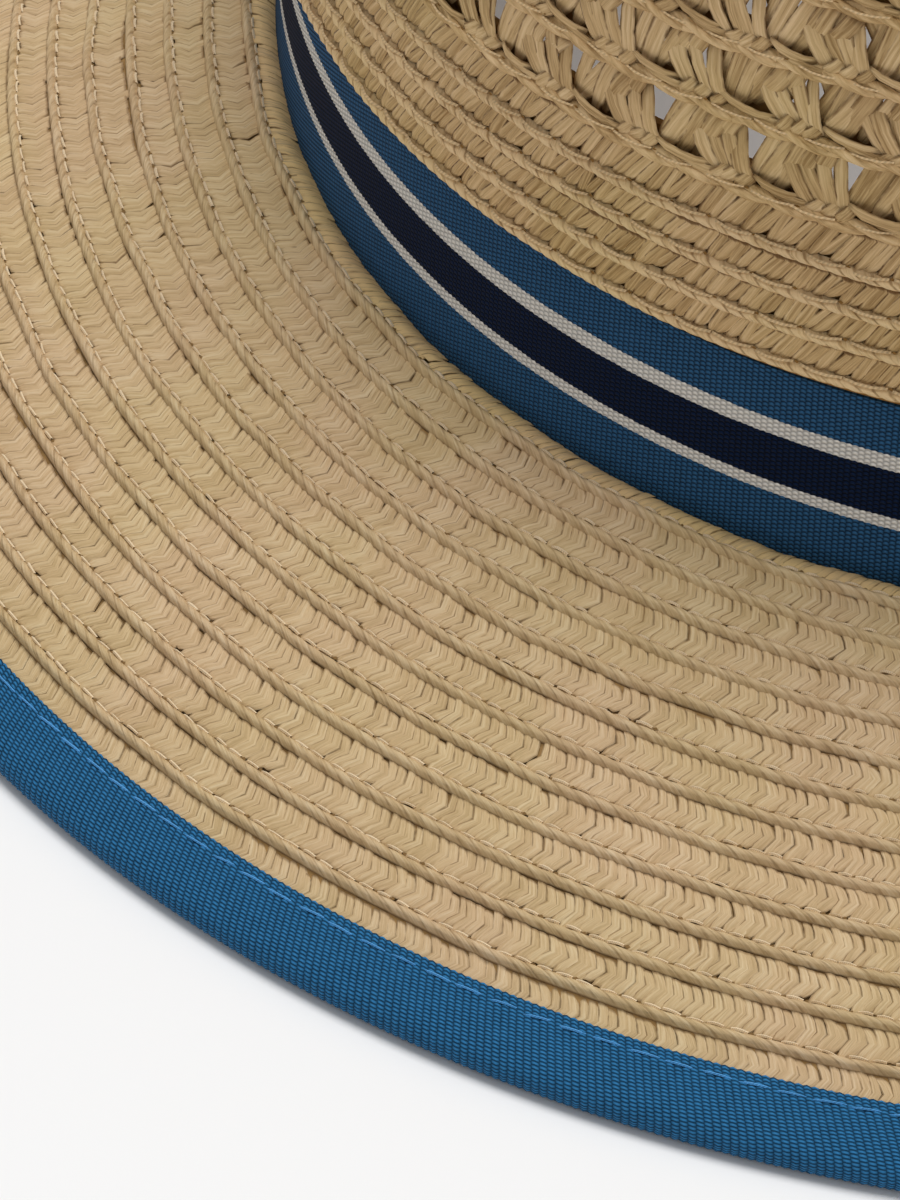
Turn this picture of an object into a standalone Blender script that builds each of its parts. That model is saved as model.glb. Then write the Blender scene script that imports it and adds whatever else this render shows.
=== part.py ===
"""A straw boater hat, sewn from braid, with an openwork crown, a striped ribbon and a bound brim.

Metres, +Z up. The hat stands on the lower fold of its brim binding at z = 0. Its front faces -Y and the
long way of its oval runs along Y. Each ring is a section, drawn in offsets from the oval line of the
ribbon's foot and in heights above that foot, turned about Z and then laid on the oval.
"""

import math

import bmesh
import bpy
from mathutils import Matrix, Vector

# Oval of the crown, measured over the ribbon at its foot
HEAD_LENGTH = 0.1962
HEAD_WIDTH = 0.1838
SEGMENTS = 48

# Clearance between two pieces that touch on the real hat
GAP = 0.0003

# Sewn straw
ROW_PITCH = 0.0039
ROLL_WIDTH = 0.0012
ROLL_HEIGHT = 0.0009
WALL = 0.0018

# Brim: rows whose rolled edge shows, where the first edge lies, and how the brim falls outwards
BRIM_ROWS = 12
FIRST_BRIM_ROW = 0.0034
FOOT_DEPTH = 0.0009
BRIM_WALL = 0.0016
BRIM_SLOPE = 0.217
BRIM_BEND = 2.28

# Ribbons
RIBBON = 0.0008
BAND_HEIGHT = 0.0205
BAND_LEAN = 0.0008
BINDING_MARGIN = 0.0026
BINDING_WIDTH = 0.0060

# Crown wall above the ribbon: rolled rows, then a plain row, then the openwork
CROWN_ROWS = 4
FIRST_CROWN_ROW = 0.0021
LAST_ROW_HEIGHT = 0.0060
CROWN_PROUD = 0.0008
CROWN_TAPER = 0.0042

# Openwork: rows of gaps between cords
LACE_ROWS = 4
LACE_ROW_HEIGHT = 0.0072
LACE_WALL = 0.0016
CORD_WIDTH = 0.0022
CORD_HEIGHT = 0.0008
GAP_WIDTH = 0.0088
GAP_MARGIN = 0.0003

# Top of the crown
TIP_WALL_HEIGHT = 0.0040
SHOULDER_RADIUS = 0.0100
SHOULDER_STEPS = 3

STRAW_TAN = (0.60, 0.44, 0.25)
STRAW_DARK = (0.47, 0.33, 0.18)
GROSGRAIN_BLUE = (0.040, 0.130, 0.270)


def brim_top(offset):
    """Height of the brim's rows at an offset from the ribbon's foot: it falls faster towards its edge."""
    return FOOT_DEPTH - BRIM_SLOPE * offset - BRIM_BEND * offset**2


def brim_angle(offset):
    """Angle of the brim below the horizontal at an offset."""
    return math.atan(BRIM_SLOPE + 2 * BRIM_BEND * offset)


def row_edge(index):
    """Offset of a brim row's edge, counted from the crown."""
    return FIRST_BRIM_ROW + index * ROW_PITCH


# Heights up the crown and offsets of the binding, all from the sizes above
CROWN_ROW_HEIGHTS = [BAND_HEIGHT + FIRST_CROWN_ROW + i * ROW_PITCH for i in range(CROWN_ROWS)]
LACE_FOOT = CROWN_ROW_HEIGHTS[-1] + LAST_ROW_HEIGHT
LACE_TOP = LACE_FOOT + LACE_ROWS * LACE_ROW_HEIGHT
CROWN_TOP = LACE_TOP + TIP_WALL_HEIGHT + SHOULDER_RADIUS
BAND_SEAT = -RIBBON - GAP
BINDING_INNER = row_edge(BRIM_ROWS - 1) + BINDING_MARGIN
FOLD_RADIUS = BRIM_WALL / 2 + GAP + RIBBON
FOLD_CENTRE = BINDING_INNER + BINDING_WIDTH - FOLD_RADIUS


def wall_out(height):
    """Offset of the crown's outer surface above the ribbon, which leans in towards the top."""
    rise = (height - CROWN_ROW_HEIGHTS[0]) / (CROWN_TOP - CROWN_ROW_HEIGHTS[0])
    return CROWN_PROUD - CROWN_TAPER * rise


def brim_profile():
    """Lapped rows on top, each rising to its rolled edge and dropping to the next, and a plain underside."""
    inner = BAND_SEAT - WALL
    top = [(inner, -GAP), (0.0, -GAP)]
    for index in range(BRIM_ROWS):
        edge = row_edge(index)
        foot = edge - ROLL_WIDTH
        crest = edge - 0.4 * ROLL_WIDTH
        top.append((foot, brim_top(foot) + 0.45 * ROLL_HEIGHT))
        top.append((crest, brim_top(crest) + ROLL_HEIGHT))
        top.append((edge, brim_top(edge)))
    top.append((FOLD_CENTRE, brim_top(FOLD_CENTRE)))
    below = []
    for share in (1.0, 0.7, 0.4, 0.1):
        offset = share * FOLD_CENTRE
        below.append((offset, brim_top(offset) - BRIM_WALL))
    return top + below + [(inner, -GAP - BRIM_WALL)]


def binding_profile():
    """Ribbon folded over the brim's edge. One facet of the fold is level, where the hat stands."""
    angle = brim_angle(FOLD_CENTRE)
    centre = Vector((FOLD_CENTRE, brim_top(FOLD_CENTRE) - BRIM_WALL / 2))
    inwards = Vector((-math.cos(angle), math.sin(angle))) * (FOLD_CENTRE - BINDING_INNER)
    up = Vector((math.sin(angle), math.cos(angle)))
    fold = []
    level = math.pi / 2 - angle
    for turn in (level, level / 3, -level / 3, -level, -math.pi + level):
        fold.append(centre + FOLD_RADIUS * Vector((math.cos(turn), math.sin(turn))))
    hollow = FOLD_RADIUS - RIBBON
    outside = [centre + inwards + up * FOLD_RADIUS] + fold + [centre + inwards - up * FOLD_RADIUS]
    nose = Vector((math.cos(angle), -math.sin(angle))) * hollow
    inside = [centre + inwards - up * hollow, centre - up * hollow, centre + nose]
    return outside + inside + [centre + up * hollow, centre + inwards + up * hollow]


def side_profile():
    """Plain sewn wall, drawn in behind the ribbon, with rolled row edges above it."""
    drawn_in = BAND_SEAT - BAND_LEAN
    outside = [(BAND_SEAT, 0.0), (drawn_in, BAND_HEIGHT)]
    for height in CROWN_ROW_HEIGHTS:
        crest = height + 0.4 * ROLL_WIDTH
        foot = height + ROLL_WIDTH
        outside.append((wall_out(height), height))
        outside.append((wall_out(crest) + ROLL_HEIGHT, crest))
        outside.append((wall_out(foot) + 0.45 * ROLL_HEIGHT, foot))
    top = LACE_FOOT - CORD_WIDTH / 2 - GAP
    outside.append((wall_out(top), top))
    inside = [(wall_out(top) - WALL, top), (wall_out(top) - WALL, CROWN_ROW_HEIGHTS[0])]
    return outside + inside + [(drawn_in - WALL, BAND_HEIGHT), (BAND_SEAT - WALL, 0.0)]


def lace_profile():
    """Wall of the openwork before its gaps are cut, with a rib for each cord."""
    half = CORD_WIDTH / 2
    outside = []
    for index in range(LACE_ROWS + 1):
        height = LACE_FOOT + index * LACE_ROW_HEIGHT
        outside.append((wall_out(height - half), height - half))
        outside.append((wall_out(height) + CORD_HEIGHT, height))
        outside.append((wall_out(height + half), height + half))
    top = LACE_TOP + half
    foot = LACE_FOOT - half
    return outside + [(wall_out(top) - LACE_WALL, top), (wall_out(foot) - LACE_WALL, foot)]


def tip_profile():
    """Plain wall, round shoulder and the edge of the flat top, outside and then inside."""
    foot = LACE_TOP + CORD_WIDTH / 2 + GAP
    shoulder = CROWN_TOP - SHOULDER_RADIUS
    centre = wall_out(shoulder) - SHOULDER_RADIUS
    outside = [(wall_out(foot), foot)]
    inside = [(wall_out(foot) - WALL, foot)]
    for step in range(SHOULDER_STEPS + 1):
        turn = math.pi / 2 * step / SHOULDER_STEPS
        across, rise = math.cos(turn), math.sin(turn)
        outer, inner = SHOULDER_RADIUS, SHOULDER_RADIUS - WALL
        outside.append((centre + outer * across, shoulder + outer * rise))
        inside.append((centre + inner * across, shoulder + inner * rise))
    return outside[::-1] + inside


def band_profile():
    """Ribbon round the crown, leaning in with the wall behind it."""
    outside = [(0.0, 0.0), (-BAND_LEAN, BAND_HEIGHT)]
    return outside + [(offset - RIBBON, height) for offset, height in reversed(outside)]


# Height of the ribbon's foot above what the hat stands on
FOOT_HEIGHT = -min(point[1] for point in binding_profile())


def on_oval(angle, offset, height):
    """A point at an offset square to the oval, at a height above the ribbon's foot."""
    half_width, half_length = HEAD_WIDTH / 2, HEAD_LENGTH / 2
    line = Vector((half_width * math.cos(angle), half_length * math.sin(angle), 0))
    square = Vector((half_length * math.cos(angle), half_width * math.sin(angle), 0)).normalized()
    return line + square * offset + Vector((0, 0, FOOT_HEIGHT + height))


def turned_section(profile, closed=True):
    """A bmesh of the section turned about Z and laid on the oval."""
    shape = bmesh.new()
    radius = HEAD_WIDTH / 2
    verts = [shape.verts.new((radius + offset, 0, height)) for offset, height in profile]
    ends = verts[1:] + verts[:1] if closed else verts[1:]
    edges = [shape.edges.new(pair) for pair in zip(verts, ends)]
    bmesh.ops.spin(
        shape, geom=verts + edges, cent=(0, 0, 0), axis=(0, 0, 1),
        angle=2 * math.pi, steps=SEGMENTS, use_merge=True,
    )
    for vert in shape.verts:
        offset = math.hypot(vert.co.x, vert.co.y) - radius
        vert.co = on_oval(math.atan2(vert.co.y, vert.co.x), offset, vert.co.z)
    return shape


def finished_object(name, shape, collection):
    """An object made from the bmesh, with its faces pointing out."""
    bmesh.ops.recalc_face_normals(shape, faces=shape.faces)
    mesh = bpy.data.meshes.new(name)
    shape.to_mesh(mesh)
    shape.free()
    mesh.shade_smooth()
    mesh.set_sharp_from_angle(angle=math.radians(35))
    obj = bpy.data.objects.new(name, mesh)
    collection.objects.link(obj)
    return obj


def matte(name, colour, roughness):
    """A plain material for straw or ribbon."""
    material = bpy.data.materials.new(name)
    material.use_nodes = True
    shader = material.node_tree.nodes["Principled BSDF"]
    shader.inputs["Base Color"].default_value = (*colour, 1)
    shader.inputs["Roughness"].default_value = roughness
    shader.inputs["Metallic"].default_value = 0
    material.diffuse_color = (*colour, 1)
    return material


def add_piece(name, profile, material, collection):
    piece = finished_object(name, turned_section(profile), collection)
    piece.data.materials.append(material)
    return piece


def add_tip(material, collection):
    """The crown's top: its section is open, and its flat top and ceiling close it."""
    shape = turned_section(tip_profile(), closed=False)
    rims = [edge for edge in shape.edges if edge.is_boundary]
    bmesh.ops.holes_fill(shape, edges=rims, sides=SEGMENTS)
    piece = finished_object("crown_tip", shape, collection)
    piece.data.materials.append(material)
    return piece


def lace_gap_matrix(segment, row):
    """Lays a unit triangular prism through the wall, its point down, between two cords."""
    angle = 2 * math.pi * (segment + 0.5) / SEGMENTS
    tall = LACE_ROW_HEIGHT - CORD_WIDTH - 2 * GAP_MARGIN
    foot = LACE_FOOT + row * LACE_ROW_HEIGHT + CORD_WIDTH / 2 + GAP_MARGIN
    # A prism of radius 1 reaches 1 above its centre and 0.5 below, and here it stands on its point
    centre = on_oval(angle, wall_out(foot) - LACE_WALL / 2, foot + tall / 1.5)
    out = (on_oval(angle, 1.0, 0) - on_oval(angle, 0.0, 0)).normalized()
    up = Vector((0, 0, 1))
    along = up.cross(out)
    columns = (along * GAP_WIDTH / math.sqrt(3), up * tall / 1.5, out * 4 * LACE_WALL)
    turn = Matrix(columns).transposed().to_4x4()
    return Matrix.Translation(centre) @ turn @ Matrix.Rotation(math.pi, 4, "Z")


def add_lace(material, collection, cutters):
    """The openwork wall: every second facet has a gap in each row, and rows are staggered."""
    piece = add_piece("crown_lace", lace_profile(), material, collection)
    prisms = bmesh.new()
    for row in range(LACE_ROWS):
        for segment in range(row % 2, SEGMENTS, 2):
            bmesh.ops.create_cone(
                prisms, cap_ends=True, segments=3, radius1=1, radius2=1, depth=1,
                matrix=lace_gap_matrix(segment, row),
            )
    cutter = finished_object("lace_gaps", prisms, cutters)
    cutter.hide_render = True
    cutter.display_type = "WIRE"
    cut = piece.modifiers.new("Gaps", "BOOLEAN")
    cut.operation = "DIFFERENCE"
    cut.object = cutter
    return piece


def main():
    for obj in list(bpy.data.objects):
        bpy.data.objects.remove(obj)
    hat = bpy.data.collections.new("straw_boater_hat")
    cutters = bpy.data.collections.new("cutters")
    bpy.context.scene.collection.children.link(hat)
    bpy.context.scene.collection.children.link(cutters)

    brim_straw = matte("paper_straw_braid", STRAW_TAN, 0.75)
    crown_straw = matte("crown_straw", STRAW_DARK, 0.75)
    ribbon = matte("blue_grosgrain", GROSGRAIN_BLUE, 0.7)

    add_piece("brim", brim_profile(), brim_straw, hat)
    add_piece("crown_side", side_profile(), crown_straw, hat)
    add_lace(crown_straw, hat, cutters)
    add_tip(crown_straw, hat)
    add_piece("hat_band", band_profile(), ribbon, hat)
    add_piece("brim_binding", binding_profile(), ribbon, hat)


main()
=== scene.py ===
"""Looks of a straw boater hat: sewn braid, an openwork crown, a striped ribbon and a bound brim.

Every ring of the hat is made the way the real one is: a unit of plaiting is modelled once, lying along X
with its outer edge at y = 0 and its face up, then it is repeated in a strip, and the strip is laid round the
oval of the hat. Metres, +Z up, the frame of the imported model.
"""

import math

import bmesh
import bpy
import numpy as np
from bpy.props import FloatProperty, FloatVectorProperty, IntProperty, PointerProperty
from mathutils import Matrix, Vector


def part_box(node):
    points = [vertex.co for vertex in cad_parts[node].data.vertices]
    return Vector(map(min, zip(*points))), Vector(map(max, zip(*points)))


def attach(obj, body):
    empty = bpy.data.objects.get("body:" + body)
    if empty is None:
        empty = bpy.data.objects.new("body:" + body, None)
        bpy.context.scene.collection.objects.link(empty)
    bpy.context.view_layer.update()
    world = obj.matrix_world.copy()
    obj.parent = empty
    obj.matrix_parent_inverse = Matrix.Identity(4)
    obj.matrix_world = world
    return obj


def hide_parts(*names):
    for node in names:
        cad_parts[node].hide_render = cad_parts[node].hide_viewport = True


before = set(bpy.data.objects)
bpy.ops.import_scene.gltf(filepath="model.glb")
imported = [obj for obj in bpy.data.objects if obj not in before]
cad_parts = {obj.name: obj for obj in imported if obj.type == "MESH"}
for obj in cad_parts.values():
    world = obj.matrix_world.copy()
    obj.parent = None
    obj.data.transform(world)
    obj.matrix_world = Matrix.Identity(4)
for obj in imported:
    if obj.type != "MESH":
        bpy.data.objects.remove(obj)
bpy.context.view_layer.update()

bl_info = {
    "name": "Straw Boater Hat",
    "version": (1, 0, 0),
    "blender": (4, 5, 0),
    "location": "3D View > Sidebar > Hat",
    "description": "Builds the braid, openwork and ribbons of a straw boater hat on its packed solids",
    "category": "Add Mesh",
}

# Oval of the ribbon's foot and its height above the floor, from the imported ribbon
HALF_WIDTH, HALF_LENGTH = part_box("hat_band")[1].xy
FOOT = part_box("hat_band")[0].z

# Sizes that part.py gives its solids. The rows and cords of the crown are here within 0.8 mm of its solids,
# at the heights that the photograph shows
ROW_PITCH = 0.0039
FIRST_BRIM_ROW = 0.0034
BRIM_ROWS = 12
BRIM_WALL = 0.0016
BAND_HEIGHT = 0.0205
BAND_LEAN = 0.0008
CROWN_ROW_HEIGHTS = [0.0231, 0.0270, 0.0310, 0.0351]
LACE_FOOT = 0.0402
LACE_ROW_HEIGHT = 0.0074
LACE_ROWS = 4
CROWN_TOP = 0.0831
SHOULDER_RADIUS = 0.010
FOLD_CENTRE = 0.0530
FOLD_RADIUS = 0.0019
# The ribbon's foot presses the first brim row down by this much
BAND_SINK = 0.0007

# Spacings of what is repeated round the hat, where no setting gives them
FIRST_ROW_STRAND = 0.0011
UNDERSIDE_STRAND = 0.0014
BRIM_TWIST = 0.0019
CROWN_TWIST = 0.0016
TOP_TWIST = 0.0021
CORD_TURN = 0.0092
CORD_STITCH = 0.0046
SLICE = 0.003
# The strands of a row lie at 35 degrees to its width
STRAND_LEAN = math.tan(math.radians(35))
# Rolled edges are laid as exact copies that differ in tone only
TONE_ONLY = (0, (0, 0, 0), 0)


def linear(code):
    """Turns an sRGB hex colour into the linear values that shaders take."""
    values = [int(code[i:i + 2], 16) / 255 for i in (0, 2, 4)]
    return tuple(v / 12.92 if v <= 0.04045 else ((v + 0.055) / 1.055) ** 2.4 for v in values)


def brim_top(offset):
    """Height of the brim's rows above the ribbon's foot, at an offset from it."""
    return 0.0009 - 0.217 * offset - 2.28 * offset**2


def brim_fall(offset):
    """Angle of the brim below the horizontal at an offset."""
    return math.atan(0.217 + 4.56 * offset)


def wall_out(height):
    """Offset of the crown's wall above the ribbon, which leans in towards the top."""
    return 0.0008 - 0.0042 * (height - 0.0226) / (CROWN_TOP - 0.0226)


def length_prop(name, description, default):
    """A length in metres."""
    return FloatProperty(name=name, description=description, default=default, unit="LENGTH", precision=5)


def colour_prop(name, description, code):
    """A colour, from its sRGB hex value."""
    return FloatVectorProperty(
        name=name, description=description, default=linear(code), subtype="COLOR", size=3, min=0, max=1,
    )


class BoaterStraw(bpy.types.PropertyGroup):
    """Sizes and colours of the straw."""
    brim_strand: length_prop("Brim strand", "Spacing of the plaited strands along a brim row", 0.00095)
    crown_strand: length_prop("Crown strand", "Spacing of the plaited strands along a crown row", 0.0011)
    roll_width: length_prop("Roll width", "Width of the rolled edge of a row", 0.00118)
    roll_height: length_prop("Roll height", "Height of the rolled edge above the row", 0.00082)
    brim_stitch: length_prop("Brim stitch", "Spacing of the stitches on the brim", 0.0021)
    crown_stitch: length_prop("Crown stitch", "Spacing of the stitches on the crown", 0.0043)
    thread: length_prop("Thread", "Thickness of the sewing thread", 0.00027)
    lace_repeats: IntProperty(name="Openwork repeats", description="Gaps in an openwork row", default=62)
    brim_colour: colour_prop("Brim straw", "Middle colour of the brim's straw", "C4A981")
    brim_shade: colour_prop("Brim shade", "Dark colour of the brim's straw", "B0956C")
    brim_light: colour_prop("Brim light", "Light colour of the brim's straw", "D2BC97")
    crown_colour: colour_prop("Crown straw", "Middle colour of the crown's straw", "C6A674")
    crown_shade: colour_prop("Crown shade", "Dark colour of the crown's straw", "9A7A4C")
    crown_light: colour_prop("Crown light", "Light colour of the crown's straw", "E0C292")
    # The first brim row's straw is paler and warmer than the rest: painted light, against the crown's shade
    # beside the ribbon
    first_row_lightened_colour: colour_prop("Pressed straw", "Straw of the first brim row, beside the ribbon", "E8C78F")
    thread_colour: colour_prop("Thread colour", "Colour of the sewing thread on the brim", "F8E2BE")
    crown_thread_colour: colour_prop("Crown thread", "Colour of the sewing thread on the crown", "DFC090")


class BoaterRibbon(bpy.types.PropertyGroup):
    """Sizes and colours of the ribbons."""
    band_rib: length_prop("Band rib", "Spacing of the ribs on the striped ribbon", 0.0006)
    binding_rib: length_prop("Binding rib", "Spacing of the ribs on the binding", 0.00048)
    binding_stitch: length_prop("Binding stitch", "Spacing of the stitches on the binding", 0.0034)
    blue: colour_prop("Blue", "Edges of the striped ribbon", "2D5A82")
    navy: colour_prop("Navy", "Middle of the striped ribbon", "0B1D3A")
    grey: colour_prop("Grey", "Thin stripes of the ribbon", "E4E1DB")
    binding_blue: colour_prop("Binding blue", "Ribbon over the brim's edge", "2C6B99")
    stitch_blue: colour_prop("Stitch blue", "Thread along the binding", "55A8EA")


class BoaterStage(bpy.types.PropertyGroup):
    """Floor, light and camera."""
    floor_colour: colour_prop("Floor", "Colour of the floor", "ECECEC")
    key_power: FloatProperty(name="Key light", description="Its power", default=19.5, unit="POWER")
    sky_strength: FloatProperty(name="Sky", description="Strength of the light from all round", default=0.5)


def feed(tree, node, inputs):
    """Sets a node's inputs, or links them: a node stands for its first output."""
    for key, value in inputs.items():
        if isinstance(value, bpy.types.Node):
            value = value.outputs[0]
        if isinstance(value, bpy.types.NodeSocket):
            tree.links.new(value, node.inputs[key])
        else:
            node.inputs[key].default_value = value


def add(tree, kind, inputs=None, **settings):
    """Adds a shader node of a kind, such as Math, with its settings and inputs."""
    made = tree.nodes.new("ShaderNode" + kind)
    for key, value in settings.items():
        setattr(made, key, value)
    feed(tree, made, inputs or {})
    return made


def pick_only(obj):
    """Selects one object and makes it the active one."""
    bpy.ops.object.select_all(action="DESELECT")
    obj.select_set(True)
    bpy.context.view_layer.objects.active = obj


def edit_all(obj, operator, **settings):
    """Runs one edit on the whole of an object's mesh."""
    pick_only(obj)
    bpy.ops.object.mode_set(mode="EDIT")
    bpy.ops.mesh.select_all(action="SELECT")
    operator(**settings)
    bpy.ops.object.mode_set(mode="OBJECT")


def points(obj):
    """The places of an object's vertices."""
    co = np.empty(len(obj.data.vertices) * 3)
    obj.data.vertices.foreach_get("co", co)
    return co.reshape(-1, 3)


def set_points(obj, co):
    """Puts an object's vertices in their places."""
    obj.data.vertices.foreach_set("co", co.ravel())
    obj.data.update()


def open_with(obj, picked):
    """Opens an object's mesh for edits with some of its vertices picked, by one truth value for each."""
    pick_only(obj)
    bpy.ops.object.mode_set(mode="EDIT")
    bpy.ops.mesh.select_all(action="DESELECT")
    shape = bmesh.from_edit_mesh(obj.data)
    for vert in shape.verts:
        vert.select_set(bool(picked[vert.index]))
    shape.select_flush_mode()
    bmesh.update_edit_mesh(obj.data)


def shift_where(obj, test, by):
    """Moves the vertices that pass a test of their place."""
    shift(obj, [test(Vector(spot)) for spot in points(obj)], by)


def shift(obj, picked, by, widen=1.0):
    """Moves the picked vertices and spreads them across X."""
    open_with(obj, picked)
    if widen != 1.0:
        bpy.ops.transform.resize(value=(widen, 1, 1), center_override=(0, 0, 0))
    bpy.ops.transform.translate(value=by)
    bpy.ops.object.mode_set(mode="OBJECT")


def settle(obj):
    """Puts an object's own move, turn and scale into its mesh."""
    pick_only(obj)
    bpy.ops.object.transform_apply(location=True, rotation=True, scale=True)


def twin(obj):
    """A copy with its own mesh."""
    copy = obj.copy()
    copy.data = obj.data.copy()
    bpy.context.scene.collection.objects.link(copy)
    return copy


def lay_uv(obj, uv):
    """Gives every vertex its place on the UV map."""
    mesh = obj.data
    layer = mesh.uv_layers.active or mesh.uv_layers.new(name="UVMap")
    layer.name = "UVMap"
    corner = np.empty(len(mesh.loops), dtype=np.int32)
    mesh.loops.foreach_get("vertex_index", corner)
    layer.data.foreach_set("uv", uv[corner].ravel())


def lay_grain(obj):
    """Maps a strand that lies along Y: U runs from 0 to 1 across it and V along it."""
    flat = points(obj)[:, :2]
    lay_uv(obj, (flat - flat.min(axis=0)) / np.ptp(flat, axis=0))


def flat_strand(length, width, rise, steps):
    """The face of one straw strand along Y: a grid two faces wide, crowned along its middle."""
    bpy.ops.mesh.primitive_grid_add(x_subdivisions=2, y_subdivisions=steps, size=1)
    made = bpy.context.object
    made.scale = (width, length, 1)
    settle(made)
    lay_grain(made)
    shift_where(made, lambda co: abs(co.x) < width / 4, (0, 0, rise))
    return made


def full_strand(length, width, thickness, steps):
    """A closed, lens-shaped straw strand along Y."""
    bpy.ops.mesh.primitive_cylinder_add(
        vertices=4, radius=0.5, depth=1, end_fill_type="NGON", rotation=(math.pi / 2, 0, 0),
    )
    made = bpy.context.object
    made.scale = (width, thickness, length)
    settle(made)
    bpy.ops.object.mode_set(mode="EDIT")
    bpy.ops.mesh.select_all(action="DESELECT")
    shape = bmesh.from_edit_mesh(made.data)
    for edge in shape.edges:
        edge.select_set(abs(edge.verts[0].co.y - edge.verts[1].co.y) > length / 2)
    bmesh.update_edit_mesh(made.data)
    bpy.ops.mesh.subdivide(number_cuts=steps - 1)
    bpy.ops.object.mode_set(mode="OBJECT")
    lay_grain(made)
    return made


def chevron(width, levels, bend, lean, rises, swells, crown, lap=0.0):
    """One strand of plait, folded at its bend: it crosses a row through the levels, from its inner edge. Each
    level has its rise and its share of the width. One side is higher by lap, over the strand beside it."""
    steps = len(levels) - 1
    made = flat_strand(1, width, crown, steps)
    made.data.transform(Matrix(((1, 0, 0, 0), (0, 1, 0, 0), (lap / width, 0, 1, 0), (0, 0, 0, 1))))
    rows = np.rint((points(made)[:, 1] + 0.5) * steps)
    for index, (level, rise, swell) in enumerate(zip(levels, rises, swells)):
        away = math.hypot(level - bend, 0.0003) - 0.0003
        by = (away * lean, level + 0.5 - index / steps, rise)
        shift(made, rows == index, by, swell)
    return made


def rail(offset, height):
    """A closed line at an offset from the ribbon's foot, and its length. It runs clockwise, +Y outwards."""
    turns = -np.linspace(0, 2 * math.pi, 361)[:-1]
    across, along = np.cos(turns), np.sin(turns)
    square = np.stack([HALF_LENGTH * across, HALF_WIDTH * along], 1)
    square /= np.linalg.norm(square, axis=1, keepdims=True)
    line = np.stack([HALF_WIDTH * across, HALF_LENGTH * along], 1) + square * offset
    if offset < -0.02:
        # A parallel line far inside would cross itself, so the crown's top has narrower and narrower ovals
        line = np.stack([(HALF_WIDTH + offset) * across, (HALF_LENGTH + offset) * along], 1)
    length = np.linalg.norm(line - np.roll(line, -1, axis=0), axis=1).sum()
    curve = bpy.data.curves.new("rail", "CURVE")
    curve.dimensions = "3D"
    curve.twist_mode = "Z_UP"
    spline = curve.splines.new("POLY")
    spline.points.add(len(line) - 1)
    flat = np.c_[line, np.full(len(line), FOOT + height), np.ones(len(line))]
    spline.points.foreach_set("co", flat.ravel())
    spline.use_cyclic_u = True
    made = bpy.data.objects.new("rail", curve)
    bpy.context.scene.collection.objects.link(made)
    return made, length


def vary(strip, copies, sizes, seed, turn, slide, swell):
    """Sets every strand of a strip a little off its neighbours, and gives each one its tone."""
    rng = np.random.default_rng(seed)
    co = points(strip).reshape(copies, -1, 3)
    tone = np.empty(co.shape[:2])
    start = 0
    for size in sizes:
        part = co[:, start:start + size]
        centre = part.mean(axis=1, keepdims=True)
        local = (part - centre) * rng.normal(1, swell, (copies, 1, 3))
        angle = rng.normal(0, turn, (copies, 1))
        x = local[..., 0] * np.cos(angle) - local[..., 1] * np.sin(angle)
        y = local[..., 0] * np.sin(angle) + local[..., 1] * np.cos(angle)
        moved = np.stack([x, y, local[..., 2]], -1) + centre
        co[:, start:start + size] = moved + rng.normal(0, 1, (copies, 1, 3)) * slide
        tone[:, start:start + size] = rng.random((copies, 1))
        start += size
    set_points(strip, co)
    layer = strip.data.attributes.new("tone", "FLOAT", "POINT")
    layer.data.foreach_set("value", tone.ravel())


def wander(strip, length, seed, sideways, lift):
    """Lets a strip wander a little on its way round, the same for all that is sewn in one row."""
    rng = np.random.default_rng(seed)
    co = points(strip)
    turns = 2 * math.pi * co[:, 0] / length
    for waves in (4, 9, 17, 31, 53):
        for axis, size in ((1, sideways), (2, lift)):
            co[:, axis] += size / 2.2 * rng.normal() * np.sin(turns * waves + rng.uniform(0, 6.28))
    set_points(strip, co)


def lay_round(
    unit, pitch, place, tilt=0.0, seed=0, loose=None, sizes=None, sway=(0, 0), weld=False, step_u=0.0,
    phase=0.0,
):
    """Repeats a unit along X, loosens the copies, tilts the strip and bends it round the hat. Loose gives the
    spread of the turn, the slide and the share of size, and sizes the vertices of each strand of the unit."""
    line, length = rail(*place)
    copies = round(length / pitch)
    strip = twin(unit)
    strip.scale.x = length / copies / pitch
    settle(strip)
    repeat = strip.modifiers.new("Repeat", "ARRAY")
    repeat.count = copies
    repeat.use_relative_offset = False
    repeat.use_constant_offset = True
    repeat.constant_offset_displace = (length / copies, 0, 0)
    repeat.offset_u = step_u
    bpy.ops.object.modifier_apply(modifier="Repeat")
    if loose:
        vary(strip, copies, sizes or [len(unit.data.vertices)], seed, *loose)
    if any(sway):
        wander(strip, length, seed, *sway)
    co = points(strip)
    co[:, 0] = (co[:, 0] + phase * length / copies) % length
    set_points(strip, co)
    strip.rotation_euler.x = -tilt
    settle(strip)
    bend = strip.modifiers.new("Round", "CURVE")
    bend.object = line
    bend.deform_axis = "POS_X"
    bpy.ops.object.modifier_apply(modifier="Round")
    curve = line.data
    bpy.data.objects.remove(line)
    bpy.data.curves.remove(curve)
    if weld:
        edit_all(strip, bpy.ops.mesh.remove_doubles, threshold=0.00002)
        edit_all(strip, bpy.ops.mesh.normals_make_consistent, inside=False)
    return strip


def section_slice(profile, length):
    """A slice of a ring: an edge along X, extruded through the points of the ring's section."""
    bpy.ops.mesh.primitive_plane_add(size=length, location=(length / 2, length / 2, 0))
    made = bpy.context.object
    settle(made)
    open_with(made, points(made)[:, 1] > length / 2)
    bpy.ops.mesh.delete(type="VERT")
    bpy.ops.mesh.select_all(action="SELECT")
    bpy.ops.transform.translate(value=(0, *profile[0]))
    for before, after in zip(profile, profile[1:]):
        by = (0, after[0] - before[0], after[1] - before[1])
        bpy.ops.mesh.extrude_region_move(TRANSFORM_OT_translate={"value": by})
    bpy.ops.object.mode_set(mode="OBJECT")
    edit_all(made, bpy.ops.mesh.remove_doubles, threshold=0.00001)
    return made


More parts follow.
